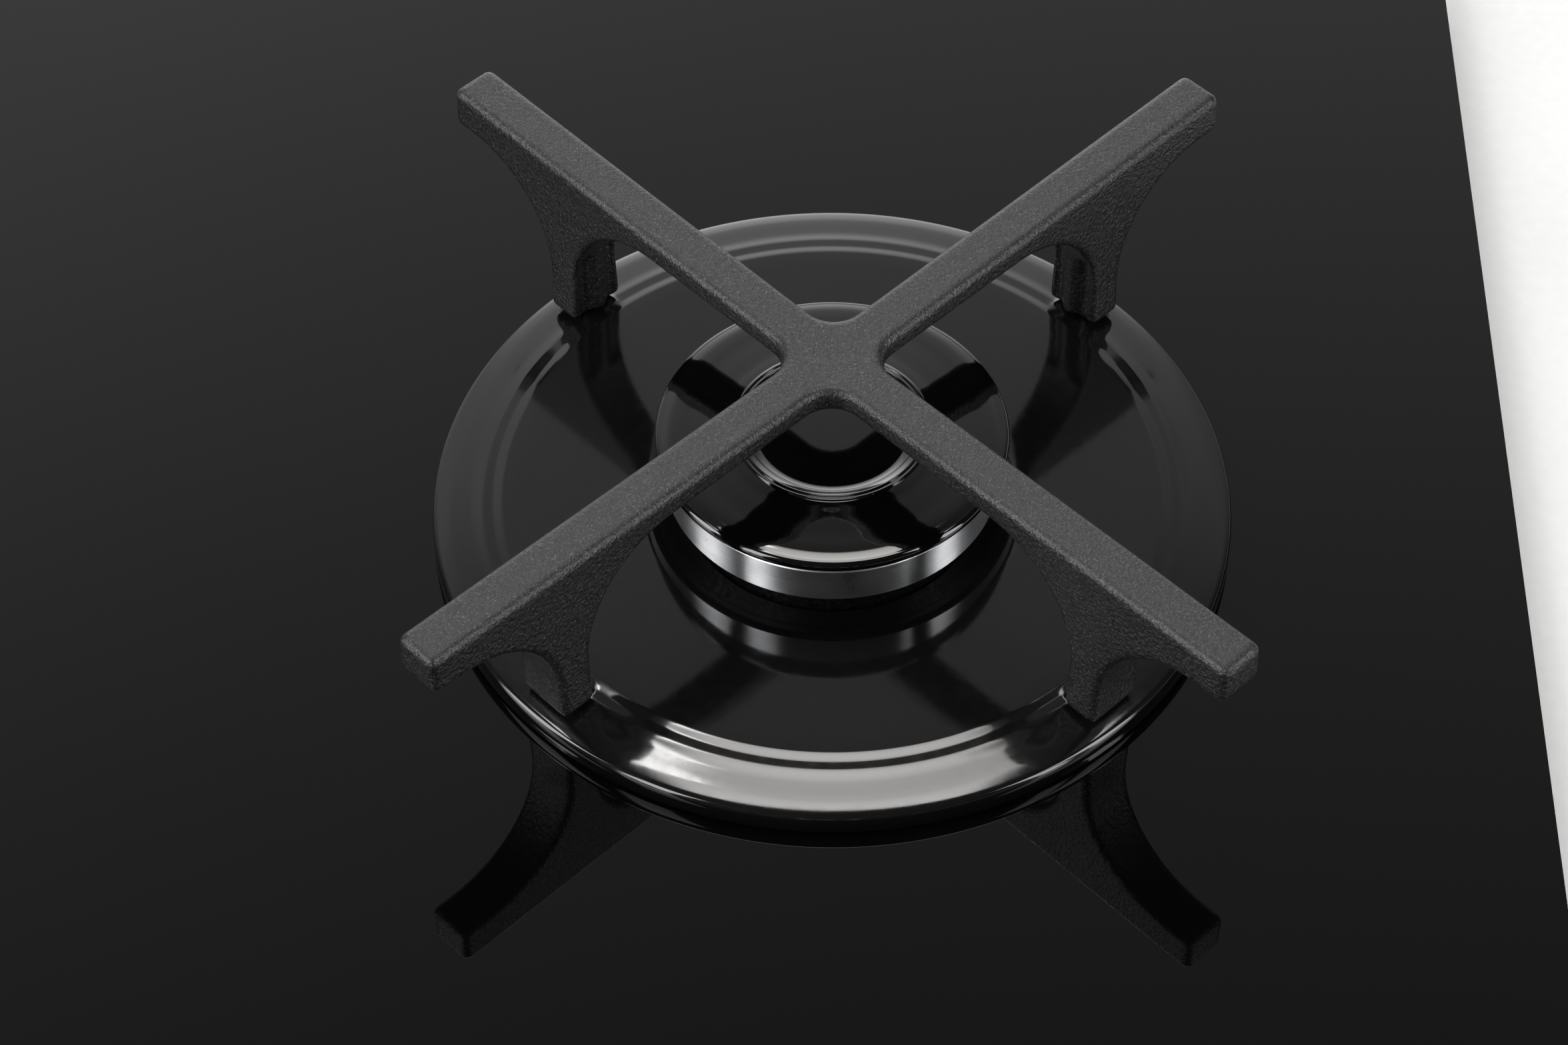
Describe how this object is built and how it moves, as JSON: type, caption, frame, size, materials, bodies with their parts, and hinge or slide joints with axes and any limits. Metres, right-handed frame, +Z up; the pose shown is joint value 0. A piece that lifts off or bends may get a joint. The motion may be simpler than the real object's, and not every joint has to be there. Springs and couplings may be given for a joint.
{
  "type": "gas cooktop",
  "caption": "Built-in gas hob: black glass plate, enamelled round burner pans, turned aluminium burners, black caps, cast cross supports and push-and-turn knobs",
  "frame": {"origin": "centre of the worktop cut-out, in the plane of the worktop's top surface", "axes": "+X to the right and +Y to the back as seen from the front of the hob, +Z up"},
  "size_m": [0.59, 0.52, 0.1019],
  "materials": {
    "cast_iron_enamel": "coarse matt enamel with a fine sparkle",
    "black_enamel": "gloss black vitreous enamel on steel",
    "black_enamel_cap": "gloss black vitreous enamel on steel",
    "turned_aluminium": "turned, with fine grooves round the wall",
    "cast_aluminium": "die cast, dull",
    "knob_plastic": "satin black",
    "tap_brass": "machined",
    "injector_brass": "machined",
    "plated_steel": "zinc plated",
    "spring_steel": "drawn wire",
    "aluminium_pipe": "drawn tube",
    "manifold_alloy": "extruded",
    "black_glass": "gloss, black enamelled underneath",
    "foam_seal": "closed-cell foam strip",
    "galvanised_sheet": "galvanised",
    "graphite_gasket": "matt",
    "seal_rubber": "matt",
    "plug_ceramic": "glazed",
    "probe_metal": "copper and steel",
    "module_plastic": "moulded"
  },
  "bodies": {
    "hob": {"glass_top": "black_glass", "worktop_seal": "foam_seal", "bottom_case": "galvanised_sheet", "burner_brackets": "galvanised_sheet", "tap_bracket": "galvanised_sheet", "pan_gaskets": "graphite_gasket", "spindle_seals": "seal_rubber", "gas_manifold": "manifold_alloy", "inlet_elbow": "tap_brass", "injectors": "injector_brass", "spark_plugs": "plug_ceramic", "thermocouples": "probe_metal", "ignition_module": "module_plastic", "mains_terminal": "module_plastic", "assembly_screws": "plated_steel", "case_screws": "plated_steel", "drip_pan_rear_right": "black_enamel", "burner_cup_rear_right": "cast_aluminium", "tap_body_rear_right": "tap_brass", "gas_pipe_rear_right": "aluminium_pipe", "drip_pan_rear_left": "black_enamel", "burner_cup_rear_left": "cast_aluminium", "tap_body_rear_left": "tap_brass", "gas_pipe_rear_left": "aluminium_pipe", "drip_pan_front_left": "black_enamel", "burner_cup_front_left": "cast_aluminium", "tap_body_front_left": "tap_brass", "gas_pipe_front_left": "aluminium_pipe", "drip_pan_front_right": "black_enamel", "burner_cup_front_right": "cast_aluminium", "tap_body_front_right": "tap_brass", "gas_pipe_front_right": "aluminium_pipe"},
    "support_rear_right": {"pan_support_rear_right": "cast_iron_enamel"},
    "crown_rear_right": {"burner_crown_rear_right": "turned_aluminium"},
    "cap_rear_right": {"burner_cap_rear_right": "black_enamel_cap"},
    "tap_rear_right": {"tap_plug_rear_right": "tap_brass", "tap_spring_rear_right": "spring_steel"},
    "control_rear_right": {"knob_rear_right": "knob_plastic", "tap_spindle_rear_right": "plated_steel"},
    "support_rear_left": {"pan_support_rear_left": "cast_iron_enamel"},
    "crown_rear_left": {"burner_crown_rear_left": "turned_aluminium"},
    "cap_rear_left": {"burner_cap_rear_left": "black_enamel_cap"},
    "tap_rear_left": {"tap_plug_rear_left": "tap_brass", "tap_spring_rear_left": "spring_steel"},
    "control_rear_left": {"knob_rear_left": "knob_plastic", "tap_spindle_rear_left": "plated_steel"},
    "support_front_left": {"pan_support_front_left": "cast_iron_enamel"},
    "crown_front_left": {"burner_crown_front_left": "turned_aluminium"},
    "cap_front_left": {"burner_cap_front_left": "black_enamel_cap"},
    "tap_front_left": {"tap_plug_front_left": "tap_brass", "tap_spring_front_left": "spring_steel"},
    "control_front_left": {"knob_front_left": "knob_plastic", "tap_spindle_front_left": "plated_steel"},
    "support_front_right": {"pan_support_front_right": "cast_iron_enamel"},
    "crown_front_right": {"burner_crown_front_right": "turned_aluminium"},
    "cap_front_right": {"burner_cap_front_right": "black_enamel_cap"},
    "tap_front_right": {"tap_plug_front_right": "tap_brass", "tap_spring_front_right": "spring_steel"},
    "control_front_right": {"knob_front_right": "knob_plastic", "tap_spindle_front_right": "plated_steel"}
  },
  "joints": [
    {"name": "lift_support_rear_right", "type": "slide", "parent": "hob", "child": "support_rear_right", "axis": [0, 0, 1], "range_m": [0, 0.06]},
    {"name": "lift_crown_rear_right", "type": "slide", "parent": "hob", "child": "crown_rear_right", "axis": [0, 0, 1], "range_m": [0, 0.007]},
    {"name": "lift_cap_rear_right", "type": "slide", "parent": "crown_rear_right", "child": "cap_rear_right", "axis": [0, 0, 1], "range_m": [0, 0.007]},
    {"name": "turn_rear_right", "type": "hinge", "parent": "hob", "child": "tap_rear_right", "pos_m": [0.032, -0.16, 0.008], "axis": [0, 0, 1], "range_deg": [0, 215]},
    {"name": "press_rear_right", "type": "slide", "parent": "tap_rear_right", "child": "control_rear_right", "axis": [0, 0, -1], "range_m": [0, 0.004], "stiffness_N_per_m": 2000, "springref_m": -0.003, "deforming": ["tap_spring_rear_right"]},
    {"name": "lift_support_rear_left", "type": "slide", "parent": "hob", "child": "support_rear_left", "axis": [0, 0, 1], "range_m": [0, 0.06]},
    {"name": "lift_crown_rear_left", "type": "slide", "parent": "hob", "child": "crown_rear_left", "axis": [0, 0, 1], "range_m": [0, 0.007]},
    {"name": "lift_cap_rear_left", "type": "slide", "parent": "crown_rear_left", "child": "cap_rear_left", "axis": [0, 0, 1], "range_m": [0, 0.007]},
    {"name": "turn_rear_left", "type": "hinge", "parent": "hob", "child": "tap_rear_left", "pos_m": [-0.032, -0.16, 0.008], "axis": [0, 0, 1], "range_deg": [0, 215]},
    {"name": "press_rear_left", "type": "slide", "parent": "tap_rear_left", "child": "control_rear_left", "axis": [0, 0, -1], "range_m": [0, 0.004], "stiffness_N_per_m": 2000, "springref_m": -0.003, "deforming": ["tap_spring_rear_left"]},
    {"name": "lift_support_front_left", "type": "slide", "parent": "hob", "child": "support_front_left", "axis": [0, 0, 1], "range_m": [0, 0.06]},
    {"name": "lift_crown_front_left", "type": "slide", "parent": "hob", "child": "crown_front_left", "axis": [0, 0, 1], "range_m": [0, 0.007]},
    {"name": "lift_cap_front_left", "type": "slide", "parent": "crown_front_left", "child": "cap_front_left", "axis": [0, 0, 1], "range_m": [0, 0.007]},
    {"name": "turn_front_left", "type": "hinge", "parent": "hob", "child": "tap_front_left", "pos_m": [-0.032, -0.22, 0.008], "axis": [0, 0, 1], "range_deg": [0, 215]},
    {"name": "press_front_left", "type": "slide", "parent": "tap_front_left", "child": "control_front_left", "axis": [0, 0, -1], "range_m": [0, 0.004], "stiffness_N_per_m": 2000, "springref_m": -0.003, "deforming": ["tap_spring_front_left"]},
    {"name": "lift_support_front_right", "type": "slide", "parent": "hob", "child": "support_front_right", "axis": [0, 0, 1], "range_m": [0, 0.06]},
    {"name": "lift_crown_front_right", "type": "slide", "parent": "hob", "child": "crown_front_right", "axis": [0, 0, 1], "range_m": [0, 0.007]},
    {"name": "lift_cap_front_right", "type": "slide", "parent": "crown_front_right", "child": "cap_front_right", "axis": [0, 0, 1], "range_m": [0, 0.007]},
    {"name": "turn_front_right", "type": "hinge", "parent": "hob", "child": "tap_front_right", "pos_m": [0.032, -0.22, 0.008], "axis": [0, 0, 1], "range_deg": [0, 215]},
    {"name": "press_front_right", "type": "slide", "parent": "tap_front_right", "child": "control_front_right", "axis": [0, 0, -1], "range_m": [0, 0.004], "stiffness_N_per_m": 2000, "springref_m": -0.003, "deforming": ["tap_spring_front_right"]}
  ]
}
